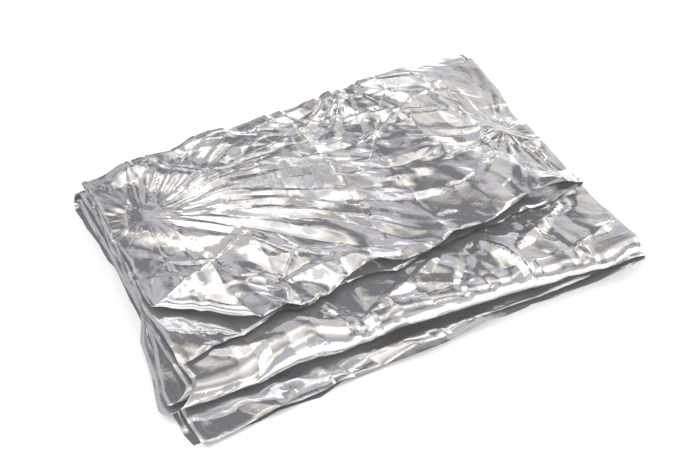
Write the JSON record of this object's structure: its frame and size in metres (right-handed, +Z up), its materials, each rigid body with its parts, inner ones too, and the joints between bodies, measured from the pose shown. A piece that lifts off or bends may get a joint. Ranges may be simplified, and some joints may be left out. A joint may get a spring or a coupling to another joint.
{
  "type": "folded foil blanket",
  "caption": "Emergency foil blanket of thin metallised film, loosely folded back and forth into a soft stack, with pleats, sharp creases and a lifted corner.",
  "frame": {"origin": "on the floor, under the middle of the folded blanket's bounding box", "axes": "+Z up from the floor, +X to the right along the folds towards the closed side, +Y to the back, with the stepped top hem at the front"},
  "size_m": [0.7878, 0.5898, 0.1111],
  "materials": {
    "silver_film": "bright metallised plastic film, mirror-like between its creases"
  },
  "bodies": {
    "root": {"foil_blanket": "silver_film"}
  },
  "joints": []
}
